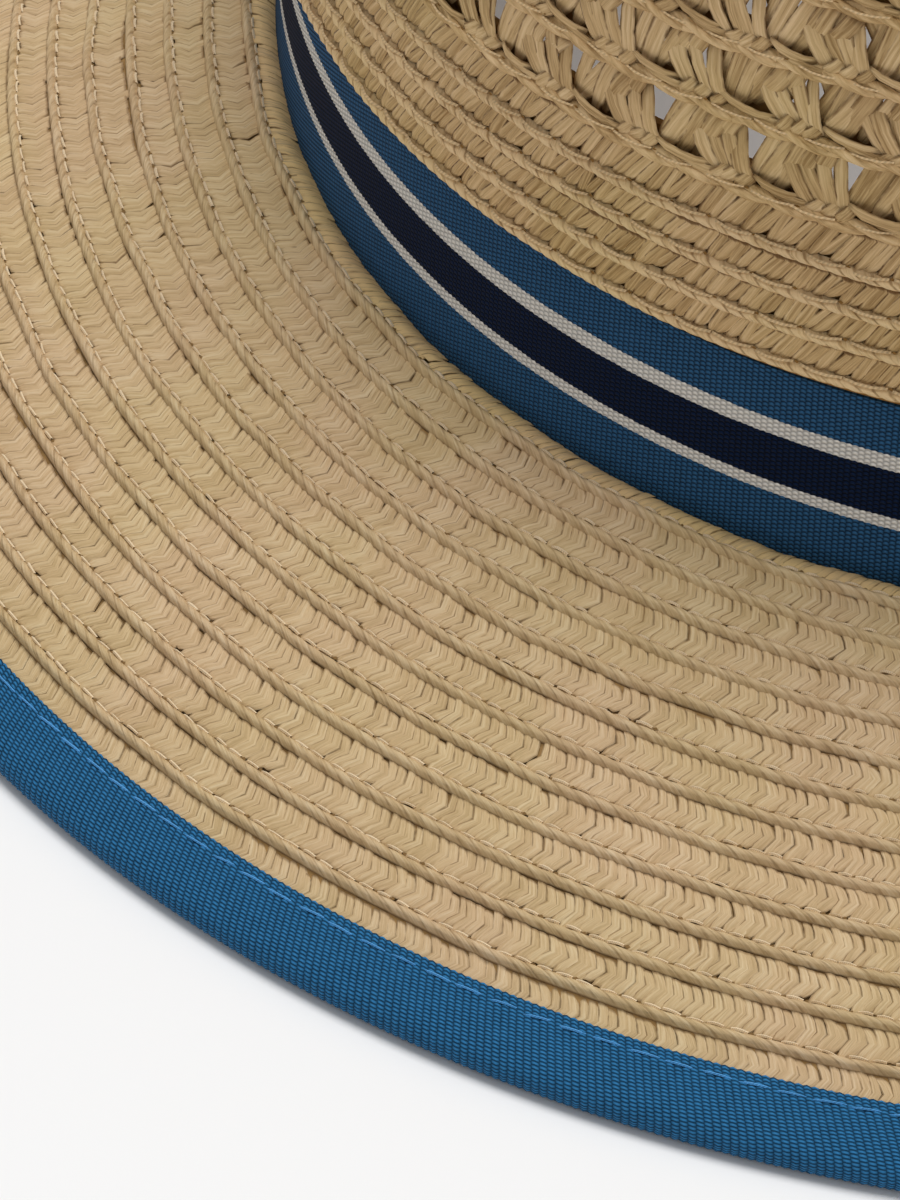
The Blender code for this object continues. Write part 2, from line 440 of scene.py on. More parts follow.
def plain_ring(profile, material, place=(0.0, 0.0)):
    """A ring that has the profile as its closed section."""
    unit = section_slice([*profile, profile[0]], SLICE)
    made = dress(lay_round(unit, SLICE, place, weld=True), material)
    discard(unit)
    return made


def discard(*objs):
    """Removes objects with their meshes."""
    for obj in objs:
        mesh = obj.data
        bpy.data.objects.remove(obj)
        bpy.data.meshes.remove(mesh)


def joined(parts):
    """Joins parts into one object."""
    bpy.ops.object.select_all(action="DESELECT")
    for part in parts:
        part.select_set(True)
    bpy.context.view_layer.objects.active = parts[0]
    if len(parts) > 1:
        bpy.ops.object.join()
    return bpy.context.object


def finish_piece(name, parts, stands_for=None):
    """Joins parts into one piece that rides on the hat."""
    piece = joined(parts)
    piece.name = name
    piece.data.name = name
    pick_only(piece)
    bpy.ops.object.shade_smooth_by_angle(angle=math.radians(70))
    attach(piece, "root")
    if stands_for:
        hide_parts(stands_for)
    return piece


def dress(obj, material):
    """Gives an object one material."""
    obj.data.materials.clear()
    obj.data.materials.append(material)
    return obj


def named(shader_inputs):
    """Turns a function that gives a shader's inputs into one that makes the material of a name, once."""
    def material_of(name, *looks, **more):
        if name not in bpy.data.materials:
            material = bpy.data.materials.new(name)
            material.use_nodes = True
            tree = material.node_tree
            feed(tree, tree.nodes["Principled BSDF"], shader_inputs(tree, *looks, **more))
        return bpy.data.materials[name]
    return material_of


def tinted(colour, *shares):
    """A colour with each channel at its share, as a shader takes it."""
    return (*(channel * share for channel, share in zip(colour, shares)), 1)


@named
def paper_straw(tree, shade, body, light, rim=0.75, ends=(0.0, 0.0), reach=(0.02, 0.1), tone_share=0.15):
    """Twisted-paper straw: dry and matte, with fine lengthwise fibres and a tone that changes from strand to
    strand,
    and painted shade: a dark line where strands meet, and dark ends where they pass under others."""
    uv = add(tree, "UVMap", uv_map="UVMap")
    split = add(tree, "SeparateXYZ", {"Vector": uv})
    along = split.outputs["Y"]
    tone = add(tree, "Attribute", attribute_name="tone").outputs["Fac"]
    place = add(tree, "TexCoord").outputs["Object"]
    side = add(tree, "Math", {0: split, 1: 2.0, 2: -1.0}, operation="MULTIPLY_ADD")
    across = add(tree, "Math", {0: side}, operation="ABSOLUTE")
    # Each strand reads its own part of the noise
    own = add(tree, "Math", {0: tone, 1: 61.0}, operation="MULTIPLY")
    grain = add(tree, "CombineXYZ", {"X": split, "Y": along, "Z": own})
    # Real fibres are finer than 0.1 mm. About four are drawn across a strand of 1 mm, so that they show
    run = add(tree, "Mapping", {"Vector": grain, "Scale": (4.6, 0.8, 1.0)})
    rough = {"Scale": 1.0, "Detail": 4.0, "Roughness": 0.7, "Distortion": 0.35}
    fibres = add(tree, "TexNoise", {"Vector": run, **rough})
    # Patches of tone about 8 mm wide, from one length of paper to the next
    patches = add(tree, "TexNoise", {"Vector": place, "Scale": 120.0, "Detail": 2.0})
    blend = -0.37 - tone_share / 2
    for source, share in ((tone, tone_share), (fibres, 1.55), (patches, 0.22)):
        blend = add(tree, "Math", {0: source, 1: share, 2: blend}, operation="MULTIPLY_ADD")
    ramp = add(tree, "ValToRGB", {"Fac": blend})
    stops = ramp.color_ramp.elements
    stops[0].position, stops[0].color = 0.22, (*shade, 1)
    stops[1].position, stops[1].color = 0.84, (*light, 1)
    stops.new(0.52).color = (*body, 1)
    # The paper is a little pinker in some places, 15 mm across, and a little greener in others
    drift = add(tree, "TexNoise", {"Vector": place, "Scale": 65.0, "Detail": 1.0})
    drift = add(tree, "MapRange", {"Value": drift, "From Min": 0.4, "From Max": 0.6})
    hues = {6: (0.99, 1.005, 0.97, 1), 7: (1.01, 0.995, 1.03, 1)}
    hue = add(tree, "Mix", {0: drift, **hues}, data_type="RGBA").outputs[2]
    straw = add(tree, "Mix", {0: 1.0, 6: ramp, 7: hue}, data_type="RGBA", blend_type="MULTIPLY")
    # The painted shade between two strands comes and goes along them
    broken = add(tree, "TexNoise", {"Vector": place, "Scale": 900.0, "Detail": 1.0})
    depth = add(
        tree, "MapRange",
        {"Value": broken, "From Min": 0.35, "From Max": 0.6, "To Min": 0.3 * rim, "To Max": 1.2 * rim},
    )
    # Where the painted shade starts and is full, and how dark it is there: at the sides, the inner and the
    # outer end
    painted_shades = []
    for source, start, full, least, most in (
        (across, 0.7, 0.95, 0.0, depth), (along, *reach, ends[0], 0.0), (along, 0.88, 0.98, 0.0, ends[1]),
    ):
        painted_shades.append(add(
            tree, "MapRange",
            {"Value": source, "From Min": start, "From Max": full, "To Min": least, "To Max": most},
            interpolation_type="SMOOTHSTEP",
        ))
    edge = painted_shades[0]
    under = add(tree, "Math", {0: painted_shades[1], 1: painted_shades[2]}, operation="MAXIMUM")
    gap = add(tree, "Math", {0: edge, 1: under}, operation="MAXIMUM")
    # Colour of the painted shade between strands and under their ends
    chink = tinted(shade, 0.38, 0.27, 0.18)
    dark = add(tree, "Mix", {0: gap, 6: straw.outputs[2], 7: chink}, data_type="RGBA")
    relief = add(tree, "Math", {0: edge, 1: -1.2, 2: fibres}, operation="MULTIPLY_ADD")
    bump = add(tree, "Bump", {"Height": relief, "Strength": 0.7, "Distance": 0.00016})
    return {"Base Color": dark.outputs[2], "Roughness": 0.62, "Specular IOR Level": 0.2, "Normal": bump}


@named
def straw_backing(tree, colour):
    """The straw behind the strands, seen only in their chinks: dull and fibrous, and dark as painted shade.
    """
    place = add(tree, "TexCoord").outputs["Object"]
    fibres = add(tree, "TexNoise", {"Vector": place, "Scale": 1400.0, "Detail": 3.0})
    tints = {6: tinted(colour, 0.55, 0.46, 0.34), 7: tinted(colour, 1.0, 0.88, 0.7)}
    tint = add(tree, "Mix", {0: fibres, **tints}, data_type="RGBA")
    bump = add(tree, "Bump", {"Height": fibres, "Strength": 0.6, "Distance": 0.0002})
    return {"Base Color": tint.outputs[2], "Roughness": 0.85, "Specular IOR Level": 0.1, "Normal": bump}


@named
def cotton_thread(tree, colour):
    """Mercerised sewing thread: a slight sheen, and a fine twist like a row of beads 0.4 mm long."""
    uv = add(tree, "UVMap", uv_map="UVMap")
    twist = add(tree, "Mapping", {"Vector": uv, "Rotation": (0, 0, 0.05)})
    plies = add(tree, "TexWave", {"Vector": twist, "Scale": 2.8}, bands_direction="Y")
    plies = plies.outputs["Fac"]
    tints = {6: tinted(colour, 0.72, 0.72, 0.72), 7: (*colour, 1)}
    tint = add(tree, "Mix", {0: plies, **tints}, data_type="RGBA")
    bump = add(tree, "Bump", {"Height": plies, "Strength": 0.5, "Distance": 0.00005})
    return {"Base Color": tint.outputs[2], "Roughness": 0.6, "Sheen Weight": 0.05, "Normal": bump}


@named
def grosgrain(tree, stripes, float_length, depth):
    """Grosgrain ribbon: cross ribs bound by short warp floats, which give a fine brick pattern, drawn as
    painted shade between the floats and at the sides of the ribs, and a low sheen. Stripes are heights above
    the ribbon's foot with the colour that starts there."""
    uv = add(tree, "UVMap", uv_map="UVMap")
    split = add(tree, "SeparateXYZ", {"Vector": uv})
    place = add(tree, "TexCoord").outputs["Object"]
    # U counts ribs. Each rib's floats are half a float off the last one's
    rib = add(tree, "Math", {0: split}, operation="FLOOR")
    half = add(tree, "Math", {0: rib, 1: 0.5}, operation="MULTIPLY")
    along = split.outputs["Y"]
    brick = add(tree, "Math", {0: along, 1: 1 / float_length, 2: half}, operation="MULTIPLY_ADD")
    for operation, more in (("FRACT", {}), ("MULTIPLY_ADD", {1: 2.0, 2: -1.0}), ("ABSOLUTE", {})):
        brick = add(tree, "Math", {0: brick, **more}, operation=operation)
    floats = add(
        tree, "MapRange",
        {"Value": brick, "From Min": 0.25, "From Max": 1.0, "To Min": 1.0, "To Max": 0.0},
        interpolation_type="SMOOTHSTEP",
    )
    across = split
    for operation, more in (("FRACT", {}), ("MULTIPLY", {1: math.pi}), ("SINE", {}), ("POWER", {1: 0.6})):
        across = add(tree, "Math", {0: across, **more}, operation=operation)
    # The weave is darker between the floats and at the sides of each rib: painted shade, which also drives
    # the bump
    weave = add(tree, "Math", {0: floats, 1: across}, operation="MULTIPLY")
    fuzz = add(tree, "TexNoise", {"Vector": place, "Scale": 900.0, "Detail": 3.0})
    base = (*stripes[0][1], 1)
    if len(stripes) > 1:
        height = add(tree, "SeparateXYZ", {"Vector": place}).outputs["Z"]
        # The edge of a stripe steps by about 0.1 mm from rib to rib
        step = add(tree, "Math", {0: fuzz, 1: 0.0002, 2: height}, operation="MULTIPLY_ADD")
        foot = FOOT + 0.0001
        rise = {"Value": step, "From Min": foot, "From Max": foot + BAND_HEIGHT}
        share = add(tree, "MapRange", rise)
        base = add(tree, "ValToRGB", {"Fac": share})
        base.color_ramp.interpolation = "CONSTANT"
        stops = base.color_ramp.elements
        stops[0].position, stops[0].color = 0.0, (*stripes[0][1], 1)
        stops[1].position, stops[1].color = stripes[-1][0] / BAND_HEIGHT, (*stripes[-1][1], 1)
        for height_above, colour in stripes[1:-1]:
            stops.new(height_above / BAND_HEIGHT).color = (*colour, 1)
    # The painted shade of the weave, with fuzz that lightens it at random
    light = add(tree, "MapRange", {"Value": weave, "To Min": 0.08, "To Max": 1.05})
    weave_shade_and_fuzz = add(tree, "Math", {0: fuzz, 1: 0.3, 2: light}, operation="MULTIPLY_ADD")
    # The pale warp is thicker, so that less of the painted shade shows between its floats
    pale = add(tree, "SeparateColor", {"Color": base})
    share = add(
        tree, "MapRange",
        {"Value": pale, "From Min": 0.1, "From Max": 0.6, "To Min": 1.0, "To Max": 0.55},
    )
    tint = add(tree, "Mix", {0: share, 6: base, 7: weave_shade_and_fuzz}, data_type="RGBA", blend_type="MULTIPLY")
    bump = add(tree, "Bump", {"Height": weave, "Strength": 0.8, "Distance": depth})
    return {
        "Base Color": tint.outputs[2], "Roughness": 0.62, "Specular IOR Level": 0.06, "Sheen Weight": 0.02,
        "Sheen Roughness": 0.4, "Normal": bump,
    }


@named
def studio_paper(tree, colour):
    """Matt background paper, with a grain of about 2 mm that only just shows."""
    place = add(tree, "TexCoord").outputs["Object"]
    tooth = add(tree, "TexNoise", {"Vector": place, "Scale": 500.0, "Detail": 2.0})
    bump = add(tree, "Bump", {"Height": tooth, "Strength": 0.05, "Distance": 0.0001})
    return {"Base Color": (*colour, 1), "Roughness": 0.9, "Specular IOR Level": 0.1, "Normal": bump}


def plait_unit(pitch, bend_share, width=ROW_PITCH, outer=-0.00105):
    """The face of a row between two rolled edges, as one folded strand. The row's outer edge is at y = 0."""
    # The inner ends reach 0.4 mm under the rolled edge before, so that no backing shows beside it
    inner = -width - 0.0004
    bend = inner + bend_share * (outer - inner)
    levels = (inner, (inner + bend) / 2, bend, bend + 0.6 * (outer - bend), outer)
    rises = (-0.00012, 0.00012, 0.00012, 0.00028, 0.00012)
    swells = (1.0, 1.04, 1.08, 1.24, 0.84)
    return chevron(pitch * 1.16, levels, bend, STRAND_LEAN, rises, swells, 0.0002, 0.00014)


def first_unit():
    """The first brim row as one strand: short ends that come up from under the ribbon's foot."""
    levels = (-0.0043, -0.0034, -0.0027, -0.0018, -0.00105)
    rises = (-0.0021, -0.0012, -0.0003, 0.0001, 0.0001)
    swells = (1.0, 1.0, 1.0, 1.0, 0.95)
    return chevron(FIRST_ROW_STRAND * 1.22, levels, levels[0], 0.45, rises, swells, 0.0001, 0.00005)


def under_unit():
    """The underside of a row, as one folded strand with few faces."""
    levels = (-ROW_PITCH - 0.0002, -ROW_PITCH / 2, 0.0)
    rises = (0.0001, 0.0, -0.0001)
    made = chevron(UNDERSIDE_STRAND * 1.14, levels, levels[1], STRAND_LEAN, rises, (1, 1, 1), 0.00015)
    made.scale.z = -1
    settle(made)
    edit_all(made, bpy.ops.mesh.flip_normals)
    return made


def roll_unit(length, width, height, twist):
    """One turn of a row's rolled edge: half a tube along X, twisted, with a swelling in its middle."""
    bpy.ops.mesh.primitive_grid_add(x_subdivisions=2, y_subdivisions=4, size=1)
    made = bpy.context.object
    made.scale = (length, width, 1)
    made.location = (length / 2, -width / 2, 0)
    settle(made)
    lay_grain(made)
    for place, rise in ((0, -0.0002), (0.25, 0.7 * height), (0.5, height), (0.75, 0.8 * height), (1, 0.0)):
        shift_where(made, lambda co, y=-width * place: abs(co.y - y) < width / 16, (0, 0, rise))
    low, high = -0.9 * width, -0.1 * width
    shift_where(made, lambda co: abs(co.x - length / 2) < length / 8 and low < co.y < high, (0, 0, 0.00018))
    made.data.transform(Matrix(((1, -twist, 0, 0), (0, 1, 0, 0), (0, 0, 1, 0), (0, 0, 0, 1))))
    return made


def stitch_unit(pitch, thickness, thread, chink=None, slope=0.0, share=0.88):
    """One stitch along X: a thread that rises from the straw, runs along a share of the pitch and dives into
    a chink, a flat dark sheet of painted shade."""
    made = flat_strand(pitch * share, thickness, thickness * 0.7, 3)
    made.rotation_euler = (0, 0, -math.pi / 2)
    made.location = (pitch / 2, 0, 0)
    settle(made)
    half = pitch * share / 2
    shift_where(made, lambda co: abs(abs(co.x - pitch / 2) - half) < pitch / 20, (0, 0, -0.0003))
    dress(made, thread)
    if chink:
        # The chink is a flat sheet in a dark material, painted shade where the thread goes into the straw
        bpy.ops.mesh.primitive_circle_add(vertices=4, radius=1, fill_type="NGON", location=(0, 0, -0.00032))
        hole = dress(bpy.context.object, chink)
        hole.scale = (pitch * (1 - share) * 0.5, thickness * 0.7, 1)
        settle(hole)
        made = joined([made, hole])
    made.rotation_euler.z = slope
    settle(made)
    return made


def crown_looks(straw):
    """Materials of the crown's sewn rows: their face, rolled edge, backing and thread."""
    colours = (straw.crown_shade, straw.crown_colour, straw.crown_light)
    return (
        # Painted shade: the faces darken far along their upper ends, under the rolled edge above
        paper_straw("crown_paper_straw", *colours, ends=(0.85, 0.2), reach=(0.28, 0.5), tone_share=0.2),
        # Painted light: the rolled edges take a lighter ramp than the faces, as their tops catch the light
        paper_straw("crown_rolled_straw", *colours[1:], straw.crown_light, rim=0.5, tone_share=0.16),
        straw_backing("crown_straw_backing", straw.crown_shade),
        cotton_thread("tan_cotton_thread", straw.crown_thread_colour),
    )


class BOATER_OT_brim(bpy.types.Operator):
    """Sew the braid rows of the brim"""
    bl_idname = "boater.brim"
    bl_label = "Brim braid"

    def execute(self, context):
        straw = context.scene.boater_straw
        colours = (straw.brim_shade, straw.brim_colour, straw.brim_light)
        # The first row's straw is paler: painted light, lifting it out of the shade that the crown casts
        # beside the ribbon
        first_row_lightened_colours = (straw.brim_colour, straw.first_row_lightened_colour, straw.first_row_lightened_colour)
        # Painted shade: the faces darken at both ends, where they pass under the rolled edges, the rolled
        # edges darken at their outer foot, and all darken along their sides
        face = paper_straw("brim_paper_straw", *colours, rim=0.52, ends=(0.55, 0.3))
        edge = paper_straw("brim_rolled_straw", *colours, rim=0.3, ends=(0.1, 0.8), tone_share=0.16)
        first_row_face = paper_straw("brim_pressed_straw", *first_row_lightened_colours, rim=0.55)
        back = straw_backing("brim_straw_backing", straw.brim_shade)
        # The sewing holes are the backing made darker still: painted shade in the holes
        holes = straw_backing("brim_sewing_holes", [c * 0.6 for c in straw.brim_shade])
        thread = cotton_thread("cream_cotton_thread", straw.thread_colour)

        # The core fills the wall between the strands of the top and of the underside
        reach = np.linspace(0.0023, FOLD_CENTRE, 15)
        core = [(-0.0029, -BAND_SINK - 0.0004), (0.0001, -BAND_SINK - 0.0004)]
        core += [(offset, brim_top(offset) - 0.0002) for offset in reach]
        reach = np.linspace(FOLD_CENTRE, 0.0023, 15)
        core += [(offset, brim_top(offset) - BRIM_WALL + 0.0003) for offset in reach]
        core += [(0.0001, -BRIM_WALL), (-0.0029, -BRIM_WALL)]
        rows, rolls, seams, unders = [plain_ring(core, back)], [], [], []

        plait = dress(plait_unit(straw.brim_strand, 0.47), face)
        # The last row runs on under the binding, so it has no rolled edge
        last = dress(plait_unit(straw.brim_strand, 0.4, outer=-0.0003), face)
        last.location.z = -0.0002
        settle(last)
        first = dress(first_unit(), first_row_face)
        below = dress(under_unit(), face)
        roll = dress(roll_unit(BRIM_TWIST, straw.roll_width, straw.roll_height, 2.0), edge)
        stitch = stitch_unit(straw.brim_stitch, straw.thread, thread, holes, share=0.72)
        stitch.location = (0, -straw.roll_width + 0.00004, 0.00058)
        settle(stitch)
        units = [first, *[plait] * (BRIM_ROWS - 1), last]
        sewn = (0.05, (0.00015, 0.00005, 0.00004), 0.08)
        for index, unit in enumerate(units):
            offset = FIRST_BRIM_ROW + index * ROW_PITCH
            place, fall = (offset, brim_top(offset)), brim_fall(offset)
            laid = {"place": place, "tilt": fall, "seed": index, "sway": (0.00013, 0.00006)}
            pitch = straw.brim_strand if index else FIRST_ROW_STRAND
            rows.append(lay_round(unit, pitch, loose=(0.06, (0.00008, 0.00004, 0.00003), 0.08), **laid))
            if unit is not last:
                rolls.append(lay_round(roll, BRIM_TWIST, loose=TONE_ONLY, **laid))
                seams.append(lay_round(stitch, straw.brim_stitch, loose=sewn, **laid))
            # Coarser than the top, because the underside is hardly seen
            laid = {"place": (offset, place[1] - BRIM_WALL), "tilt": fall, "seed": 80 + index}
            loose = (0.03, (0.00005, 0.00004, 0.00003), 0.05)
            unders.append(lay_round(below, UNDERSIDE_STRAND, loose=loose, sway=(0.00013, 0.00005), **laid))
        finish_piece("brim_braid", rows, "brim")
        finish_piece("brim_rolled_edges", rolls)
        finish_piece("brim_stitches", seams)
        finish_piece("brim_underside", unders)
        discard(plait, last, first, below, roll, stitch)
        return {"FINISHED"}


class BOATER_OT_band(bpy.types.Operator):
    """Weave the striped ribbon round the crown"""
    bl_idname = "boater.band"
    bl_label = "Striped ribbon"

    def execute(self, context):
        ribbon = context.scene.boater_ribbon
        stripes = [
            (0.0, ribbon.blue), (0.00636, ribbon.grey), (0.00765, ribbon.navy),
            (0.01307, ribbon.grey), (0.01486, ribbon.blue),
        ]
        cloth = grosgrain("striped_grosgrain", [(h, tuple(c)) for h, c in stripes], 0.0005, 0.00016)
        heights = np.linspace(-BAND_SINK, BAND_HEIGHT + 0.0002, 9)
        front = [(-BAND_LEAN * h / BAND_HEIGHT, h) for h in heights]
        back = [(-BAND_LEAN * h / BAND_HEIGHT - 0.0007, h) for h in heights[::-8]]
        unit = section_slice([*front, *back, front[0]], ribbon.band_rib)
        split_rib(unit, ribbon.band_rib, lambda co: co.y > -BAND_LEAN * co.z / BAND_HEIGHT - 0.0002, 0.0001)
        map_ribs(unit, ribbon.band_rib, front)
        band = dress(lay_round(unit, ribbon.band_rib, (0.0, 0.0), weld=True, step_u=1.0), cloth)
        finish_piece("striped_ribbon", [band], "hat_band")
        discard(unit)
        return {"FINISHED"}


def split_rib(unit, pitch, front, rise):
    """Cuts a slice along the middle of its rib and lifts the middle of the rib's face."""
    edit_all(unit, bpy.ops.mesh.bisect, plane_co=(pitch / 2, 0, 0), plane_no=(1, 0, 0))
    unit.data.update()
    normals = {v.index: v.normal.copy() for v in unit.data.vertices}
    co = points(unit)
    for index, spot in enumerate(co):
        if abs(spot[0] - pitch / 2) < pitch / 8 and front(Vector(spot)):
            outwards = Vector((0, normals[index].y, normals[index].z)).normalized()
            co[index] = Vector(spot) + outwards * rise
    set_points(unit, co)


def map_ribs(unit, pitch, line):
    """Maps a slice of ribbon: U counts ribs and V is the way along the section's line, in metres."""
    path = np.array(line)
    way = np.r_[0, np.cumsum(np.linalg.norm(np.diff(path, axis=0), axis=1))]
    co = points(unit)
    nearest = np.linalg.norm(co[:, None, 1:] - path[None], axis=2).argmin(axis=1)
    lay_uv(unit, np.stack([co[:, 0] / pitch, way[nearest]], 1))


class BOATER_OT_binding(bpy.types.Operator):
    """Fold and sew the ribbon over the brim's edge"""
    bl_idname = "boater.binding"
    bl_label = "Brim binding"

    def execute(self, context):
        ribbon = context.scene.boater_ribbon
        cloth = grosgrain("blue_grosgrain", [(0.0, tuple(ribbon.binding_blue))], 0.00034, 0.00016)
        thread = cotton_thread("blue_cotton_thread", ribbon.stitch_blue)
        fall = brim_fall(FOLD_CENTRE)
        centre = Vector((FOLD_CENTRE, brim_top(FOLD_CENTRE) - BRIM_WALL / 2))
        up = Vector((math.sin(fall), math.cos(fall)))
        along = Vector((math.cos(fall), -math.sin(fall)))
        # Reach and rise from the fold's centre, over the brim and, after the fold, below it
        over = (-0.0052, 0.0005), (-0.0053, 0.0011), (-0.0042, 0.0014), (-0.0028, 0.00165), (-0.0012, 0.00186)
        under = (-0.0014, -0.00186), (-0.0038, -0.0017), (-0.0039, -0.0011)
        turns = np.linspace(math.pi / 2, -math.pi / 2, 9)
        line = [centre + along * reach + up * rise for reach, rise in over]
        line += [centre + FOLD_RADIUS * (along * math.cos(turn) + up * math.sin(turn)) for turn in turns]
        line += [centre + along * reach + up * rise for reach, rise in under]
        line = [Vector((spot.x, max(spot.y, -FOOT))) for spot in line]
        unit = section_slice([tuple(spot) for spot in line], ribbon.binding_rib)
        split_rib(unit, ribbon.binding_rib, lambda co: True, 0.00012)
        map_ribs(unit, ribbon.binding_rib, line)
        # The folded ribbon is drawn round the curve, so its ribs lean
        co = points(unit)
        co[:, 0] -= 0.3 * (co[:, 1] - centre.x)
        set_points(unit, co)
        band = dress(lay_round(unit, ribbon.binding_rib, (0.0, 0.0), weld=True, step_u=1.0), cloth)
        stitch = stitch_unit(ribbon.binding_stitch, 0.00022, thread, slope=0.05)
        place = tuple(centre - along * 0.0043 + up * 0.0016)
        loose = (0.03, (0.0001, 0.00004, 0.00001), 0.05)
        seam = lay_round(stitch, ribbon.binding_stitch, place, tilt=fall, seed=5, loose=loose)
        finish_piece("brim_binding_ribbon", [band], "brim_binding")
        finish_piece("binding_stitches", [seam])
        discard(unit, stitch)
        return {"FINISHED"}


class BOATER_OT_crown_rows(bpy.types.Operator):
    """Sew the plain rows of the crown's wall"""
    bl_idname = "boater.crown_rows"
    bl_label = "Crown rows"

    def execute(self, context):
        straw = context.scene.boater_straw
        face, edge, back, thread = crown_looks(straw)
        drawn_in = -0.0011 - BAND_LEAN
        foot, top = wall_out(0.0226), wall_out(0.0400)
        wall = [
            (drawn_in, 0.0), (drawn_in, BAND_HEIGHT), (foot - 0.0003, 0.0222), (top - 0.0003, 0.0400),
            (top - 0.0016, 0.0400), (foot - 0.0018, 0.0222), (drawn_in - 0.0016, BAND_HEIGHT),
            (drawn_in - 0.0016, 0.0),
        ]
        rows = [plain_ring(wall, back)]
        plait = dress(plait_unit(straw.crown_strand, 0.2, width=0.0041), face)
        # The top row is wider, up to the first cord of the openwork
        widest = dress(plait_unit(straw.crown_strand, 0.2, width=LACE_FOOT - CROWN_ROW_HEIGHTS[-1]), face)
        roll = dress(roll_unit(CROWN_TWIST, 0.00115, 0.00098, 1.9), edge)
        stitch = stitch_unit(straw.crown_stitch, 0.0003, thread, back, slope=0.05)
        stitch.location = (0, -0.0012, 0.00072)
        settle(stitch)
        plaited = (0.06, (0.00008, 0.00003, 0.00004), 0.07)
        sewn = (0.05, (0.0002, 0.00005, 0.00003), 0.05)
        for index, height in enumerate(CROWN_ROW_HEIGHTS):
            laid = {"place": (wall_out(height), height), "tilt": math.pi / 2, "seed": 40 + index}
            laid["sway"] = (0.0001, 0.00006)
            unit = widest if height == CROWN_ROW_HEIGHTS[-1] else plait
            rows.append(lay_round(unit, straw.crown_strand, loose=plaited, **laid))
            rows.append(lay_round(roll, CROWN_TWIST, loose=TONE_ONLY, **laid))
            rows.append(lay_round(stitch, straw.crown_stitch, loose=sewn, **laid))
        finish_piece("crown_rows", rows, "crown_side")
        discard(plait, widest, roll, stitch)
        return {"FINISHED"}


def lean_strand(start, end, width, depths, full=True):
    """A strand of the openwork. Its ends are (right, up) as seen from outside, and it has five depths."""
    run = Vector(end) - Vector(start)
    made = full_strand(run.length, width, 0.00024, 4) if full else flat_strand(run.length, width, 0.00022, 4)
    rows = np.rint((points(made)[:, 1] / run.length + 0.5) * 4)
    for index, depth in enumerate(depths):
        shift(made, rows == index, (0, 0, depth), 1.0 if index else 0.55)
    # The strip runs clockwise and its outer edge is the lower one, so right is -X and up is -Y
    made.rotation_euler.z = math.atan2(run.x, -run.y)
    middle = (Vector(start) + Vector(end)) / 2
    made.location = (-middle.x, -middle.y, 0)
    settle(made)
    return made


# Strands of one repeat of the openwork, in millimetres: start and end as (right, up), width, depths along it.
# The gap's upper left corner is at right = 0, and up = 0 is the lower edge of the cord below
OPEN_STRANDS = (
    ((0.5, 1.3), (2.9, 7.9), 1.5, (-0.1, 0.05, 0.15, 0.1, -0.3)),
    ((1.6, 1.3), (4.5, 7.9), 1.7, (0.0, 0.2, 0.3, 0.2, -0.3)),
    ((2.8, 1.3), (5.8, 7.9), 1.75, (-0.1, 0.1, 0.3, 0.3, -0.3)),
    ((4.0, 1.5), (7.1, 7.9), 1.75, (-0.5, -0.3, 0.25, 0.4, -0.3)),
    ((5.3, 1.8), (8.4, 7.9), 1.7, (-0.6, -0.5, 0.1, 0.4, -0.3)),
    ((3.9, 6.6), (6.9, 1.2), 1.6, (-0.9, 0.25, 0.55, 0.5, 0.3)),
    ((5.2, 7.2), (8.0, 1.2), 1.6, (-0.9, 0.2, 0.5, 0.45, 0.3)),
    ((6.8, 7.7), (9.1, 1.2), 1.5, (-0.9, 0.2, 0.5, 0.45, 0.3)),
    ((8.7, 7.9), (10.1, 1.2), 1.6, (-0.7, 0.0, 0.5, 0.6, 0.3)),
    ((-0.4, 1.2), (2.4, 7.9), 1.9, (-0.5, -0.4, -0.35, -0.3, -0.4)),
    ((2.4, 1.2), (0.2, 7.9), 1.9, (-0.9, -0.8, -0.7, -0.7, -0.6)),
    ((1.4, 1.2), (1.6, 7.9), 2.2, (-1.2, -1.1, -1.0, -1.0, -0.9)),
)
# The lowest row has clear gaps. In the rows above, the last three strands lie behind the gap and half fill it
CLEAR_STRANDS = OPEN_STRANDS[:9]
# Short strands folded over the cord, given in the same way
CORD_STRANDS = (
    ((6.1, 0.7), (7.9, 2.4), 1.3, (0.5, 0.8, 0.85, 0.75, 0.1)),
    ((7.4, 0.7), (9.2, 2.5), 1.3, (0.5, 0.8, 0.85, 0.75, 0.1)),
    ((8.8, 0.7), (10.5, 2.4), 1.25, (0.5, 0.8, 0.85, 0.75, 0.1)),
    ((0.8, 2.5), (6.0, 1.7), 1.05, (0.3, 0.8, 0.9, 0.8, 0.3)),
    ((2.0, 1.6), (7.2, 1.2), 1.1, (0.2, 0.7, 0.8, 0.75, 0.2)),
)


def repeat_unit(strands, full):
    """One repeat of the openwork or of its cord's folds, from the table of its strands."""
    made = []
    for start, end, width, depths in strands:
        start, end = (Vector(spot) / 1000 for spot in (start, end))
        made.append(lean_strand(start, end, width / 1000, [depth / 1000 for depth in depths], full))
    return joined(made)


def ply_unit(length, radius, spread, sides, steps):
    """One turn of a two-ply cord along X: a ring beside the axis, screwed along it, and its twin opposite."""
    bpy.ops.mesh.primitive_circle_add(
        vertices=sides, radius=radius, rotation=(0, math.pi / 2, 0), location=(0, spread, 0),
    )
    made = bpy.context.object
    settle(made)
    ring = points(made)
    across = (np.arctan2(ring[:, 2], ring[:, 1] - spread) / (2 * math.pi) + 0.5) % 1
    twist = made.modifiers.new("Twist", "SCREW")
    twist.axis = "X"
    twist.angle = 2 * math.pi
    twist.screw_offset = length
    twist.steps = twist.render_steps = steps
    bpy.ops.object.modifier_apply(modifier="Twist")
    co = points(made)
    lay_uv(made, np.stack([np.tile(across, len(co) // sides), co[:, 0] / length * 4], 1))
    other = twin(made)
    other.rotation_euler.x = math.pi
    settle(other)
    unit = joined([made, other])
    edit_all(unit, bpy.ops.mesh.normals_make_consistent, inside=False)
    return unit


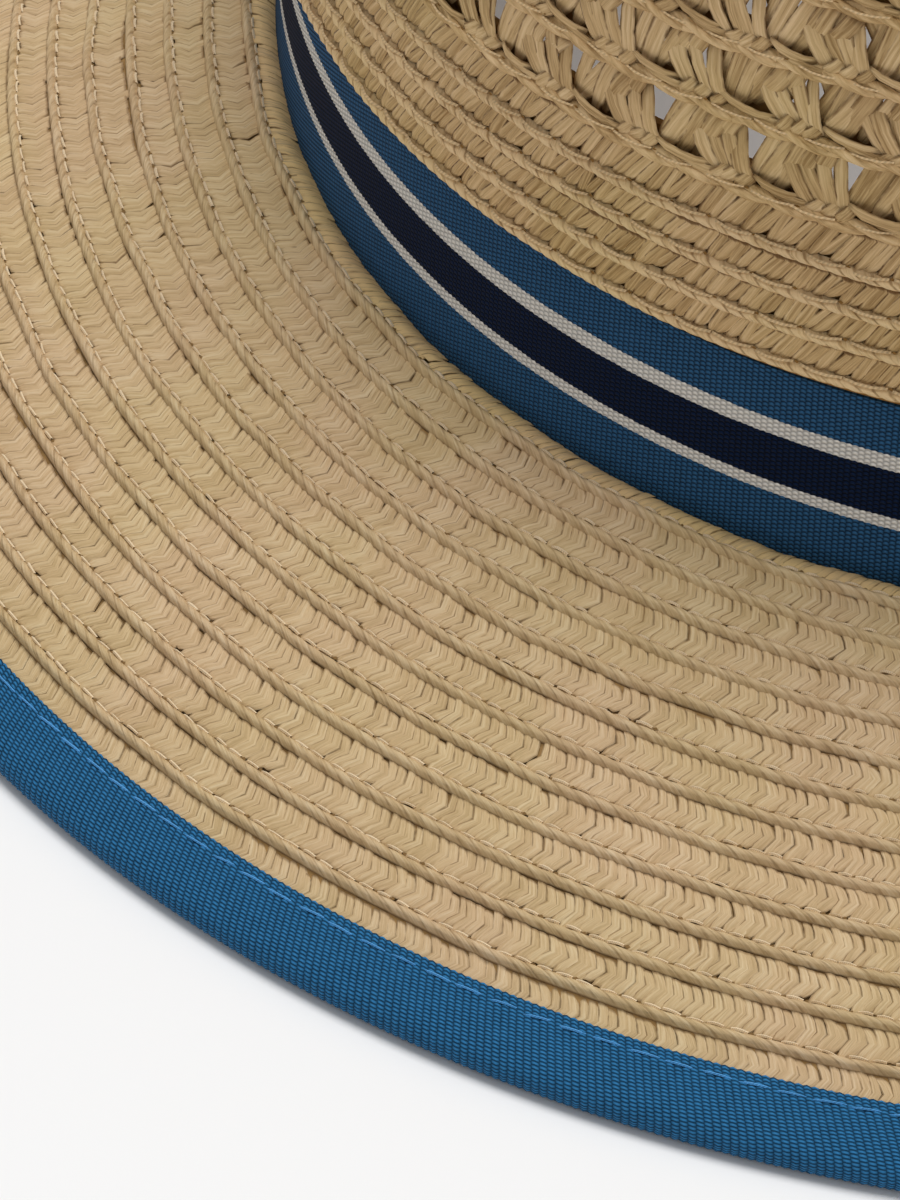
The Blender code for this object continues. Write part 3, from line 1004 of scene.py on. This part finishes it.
class BOATER_OT_lace(bpy.types.Operator):
    """Plait the openwork of the crown between its cords"""
    bl_idname = "boater.lace"
    bl_label = "Openwork"

    def execute(self, context):
        straw = context.scene.boater_straw
        colours = (straw.crown_shade, straw.crown_colour, straw.crown_light)
        # Painted shade: the openwork strands darken at both ends, where they pass under the cords, and the
        # cords along their twist
        face = paper_straw("openwork_paper_straw", *colours, rim=0.6, ends=(0.4, 0.5), tone_share=0.25)
        twisted = paper_straw("twisted_paper_cord", *colours, rim=0.8)
        back, thread = crown_looks(straw)[2:]
        # The strands are drawn for repeats of 9.5 mm, round a line whose mean radius is 94.7 mm
        repeat = 2 * math.pi * 0.0947 / straw.lace_repeats
        leaning = dress(repeat_unit(OPEN_STRANDS, True), face)
        clear = dress(repeat_unit(CLEAR_STRANDS, True), face)
        folds = dress(repeat_unit(CORD_STRANDS, False), face)
        for unit in (leaning, clear, folds):
            unit.scale.x = repeat / 0.0095
            settle(unit)
        cord = dress(ply_unit(CORD_TURN, 0.00050, 0.00034, 6, 10), twisted)
        cord.location = (0, -0.00068, 0.0006)
        settle(cord)
        stitch = stitch_unit(CORD_STITCH, 0.00022, thread, back, slope=0.04)
        stitch.location = (0, -0.00128, 0.00125)
        settle(stitch)
        strip = [(-0.0006, 0.0), (-0.0006, 0.0027), (-0.0013, 0.0027), (-0.0013, 0.0)]
        plaited = (0.05, (0.00024, 0.00006, 0.00006), 0.1)
        folded = (0.06, (0.00018, 0.00006, 0.00006), 0.08)
        sewn = (0.05, (0.0003, 0.00006, 0.00003), 0.06)
        strands, cords = [], []
        for index in range(LACE_ROWS + 1):
            height = LACE_FOOT + index * LACE_ROW_HEIGHT
            place, phase = (wall_out(height), height), 0.37 * index
            laid = {"place": place, "tilt": math.pi / 2, "seed": 60 + index, "sway": (0.00012, 0.0001)}
            if index < LACE_ROWS:
                unit, table = (leaning, OPEN_STRANDS) if index else (clear, CLEAR_STRANDS)
                # A full strand has 20 vertices, and a fold 15
                sizes = [20] * len(table)
                strands.append(lay_round(unit, repeat, sizes=sizes, phase=phase, loose=plaited, **laid))
            sizes = [15] * len(CORD_STRANDS)
            cords += [
                lay_round(folds, repeat, sizes=sizes, phase=phase, loose=folded, **laid),
                lay_round(cord, CORD_TURN, loose=TONE_ONLY, phase=0.6 * index, **laid),
                lay_round(stitch, CORD_STITCH, loose=sewn, **laid),
                plain_ring(strip, back, place),
            ]
        finish_piece("openwork_strands", strands, "crown_lace")
        finish_piece("openwork_cords", cords)
        discard(leaning, clear, folds, cord, stitch)
        return {"FINISHED"}


def tip_place(way):
    """Offset, height and tilt of the crown's top at a way up its wall, over its shoulder and inwards."""
    foot = LACE_FOOT + LACE_ROWS * LACE_ROW_HEIGHT + 0.0022
    shoulder = CROWN_TOP - SHOULDER_RADIUS
    middle = wall_out(shoulder) - SHOULDER_RADIUS
    turn = (way - (shoulder - foot)) / SHOULDER_RADIUS
    if turn < 0:
        return wall_out(foot + way), foot + way, math.pi / 2
    if turn < math.pi / 2:
        across, rise = math.cos(turn), math.sin(turn)
        return middle + SHOULDER_RADIUS * across, shoulder + SHOULDER_RADIUS * rise, math.pi / 2 - turn
    return middle - (turn - math.pi / 2) * SHOULDER_RADIUS, CROWN_TOP, 0.0


class BOATER_OT_tip(bpy.types.Operator):
    """Sew the rows of the crown's shoulder and top"""
    bl_idname = "boater.tip"
    bl_label = "Crown top"

    def execute(self, context):
        straw = context.scene.boater_straw
        face, edge, back, _ = crown_looks(straw)
        ways = (0.0, 0.0029, 0.0055, 0.0081, 0.0107, 0.0133, 0.0159, 0.0186, 0.06, 0.0866)
        outside = [tip_place(way) for way in ways]
        shell = []
        for line, out, up in ((outside, 0.0003, 0.0004), (outside[::-1], 0.0016, 0.0016)):
            for offset, height, tilt in line:
                shell.append((offset - out * math.sin(tilt), height - up * math.cos(tilt)))
        # A small plain middle, under the end of the braid
        bpy.ops.mesh.primitive_cylinder_add(
            vertices=48, radius=1, depth=1, end_fill_type="NGON", location=(0, 0, FOOT + CROWN_TOP - 0.0011),
        )
        middle = dress(context.object, back)
        middle.scale = (0.0125, 0.0188, 0.0012)
        settle(middle)
        rows, rolls = [plain_ring(shell, back), middle], []
        plait = dress(plait_unit(straw.crown_strand, 0.35), face)
        roll = dress(roll_unit(TOP_TWIST, 0.00115, 0.00095, 1.0), edge)
        plaited = (0.05, (0.00006, 0.00004, 0.00004), 0.06)
        way, offset = 0.0002, 0.0
        while offset > -HALF_WIDTH + ROW_PITCH:
            offset, height, tilt = tip_place(way)
            tilt = (tilt + tip_place(way + ROW_PITCH)[2]) / 2
            laid = {"place": (offset, height), "tilt": tilt, "seed": 100 + len(rolls)}
            if offset < -HALF_WIDTH + ROW_PITCH:
                # The braid's first turn closes on itself in the middle of the top
                discard(plait)
                plait = dress(plait_unit(straw.crown_strand, 0.35, width=HALF_WIDTH + offset), face)
            rows.append(lay_round(plait, straw.crown_strand, loose=plaited, **laid))
            rolls.append(lay_round(roll, TOP_TWIST, loose=TONE_ONLY, **laid))
            way += ROW_PITCH
        finish_piece("crown_top_braid", rows, "crown_tip")
        finish_piece("crown_top_rolled_edges", rolls)
        discard(plait, roll)
        return {"FINISHED"}


def disk_light(name, place, size, power):
    """A round light that shines downwards."""
    bpy.ops.object.light_add(type="AREA", location=place)
    made = bpy.context.object
    made.name = name
    made.data.shape = "DISK"
    made.data.size = size
    made.data.energy = power
    return made


class BOATER_OT_stage(bpy.types.Operator):
    """Set the floor, the light and the camera"""
    bl_idname = "boater.stage"
    bl_label = "Stage"

    def execute(self, context):
        stage = context.scene.boater_stage
        bpy.ops.mesh.primitive_plane_add(size=8, location=(0, 0, 0))
        floor = context.object
        floor.name = "floor"
        dress(floor, studio_paper("pale_studio_paper", stage.floor_colour))

        world = bpy.data.worlds.new("studio")
        world.use_nodes = True
        sky = world.node_tree.nodes["Background"]
        sky.inputs["Color"].default_value = (1.0, 1.0, 1.0, 1)
        sky.inputs["Strength"].default_value = stage.sky_strength
        context.scene.world = world

        key = disk_light("key_light", (0.0, 0.12, 1.65), 0.9, stage.key_power)
        key.rotation_euler = (-key.location).to_track_quat("-Z", "Y").to_euler()

        # A weak light under the crown's top shows the pale floor through the openwork, as in the photograph
        disk_light("crown_light", (0, 0, FOOT + 0.075), 0.12, 0.05).visible_camera = False

        # The photograph's viewpoint, about 0.7 m away and 43.6 degrees above the horizon
        lift, roll, turn = math.radians(43.56), math.radians(-0.81), math.radians(40)
        right = Vector((math.cos(turn), math.sin(turn), 0))
        up = Vector((-math.sin(turn) * math.sin(lift), math.cos(turn) * math.sin(lift), math.cos(lift)))
        back = Vector((math.sin(turn) * math.cos(lift), -math.cos(turn) * math.cos(lift), math.sin(lift)))
        side = math.cos(roll) * right - math.sin(roll) * up
        top = math.sin(roll) * right + math.cos(roll) * up
        away, aside, below = 0.69537, 0.07722, 0.06392
        place = Vector((0, 0, FOOT + 0.00094)) + back * away - side * aside - top * below
        bpy.ops.object.camera_add(location=place)
        camera = context.object
        camera.name = "camera"
        camera.rotation_euler = Matrix((side, top, back)).transposed().to_euler()
        camera.data.sensor_width = 36
        camera.data.lens = 208.5
        camera.data.clip_start = 0.05
        context.scene.camera = camera
        context.scene.view_settings.view_transform = "Standard"
        return {"FINISHED"}


class BOATER_PT_panel(bpy.types.Panel):
    """Lists the settings and the pieces of the hat"""
    bl_label = "Straw boater hat"
    bl_space_type = "VIEW_3D"
    bl_region_type = "UI"
    bl_category = "Hat"

    def draw(self, context):
        for group in (context.scene.boater_straw, context.scene.boater_ribbon, context.scene.boater_stage):
            box = self.layout.box()
            for name in group.__annotations__:
                box.prop(group, name)
        for operator in OPERATORS:
            self.layout.operator(operator.bl_idname)


OPERATORS = (
    BOATER_OT_stage, BOATER_OT_brim, BOATER_OT_crown_rows, BOATER_OT_lace, BOATER_OT_tip, BOATER_OT_band,
    BOATER_OT_binding,
)
CLASSES = (BoaterStraw, BoaterRibbon, BoaterStage, *OPERATORS, BOATER_PT_panel)


def register():
    for kind in CLASSES:
        bpy.utils.register_class(kind)
    bpy.types.Scene.boater_straw = PointerProperty(type=BoaterStraw)
    bpy.types.Scene.boater_ribbon = PointerProperty(type=BoaterRibbon)
    bpy.types.Scene.boater_stage = PointerProperty(type=BoaterStage)


def unregister():
    del bpy.types.Scene.boater_stage
    del bpy.types.Scene.boater_ribbon
    del bpy.types.Scene.boater_straw
    for kind in reversed(CLASSES):
        bpy.utils.unregister_class(kind)


def main():
    register()
    bpy.ops.boater.stage()
    bpy.ops.boater.brim()
    bpy.ops.boater.crown_rows()
    bpy.ops.boater.lace()
    bpy.ops.boater.tip()
    bpy.ops.boater.band()
    bpy.ops.boater.binding()


if __name__ == "__main__":
    main()
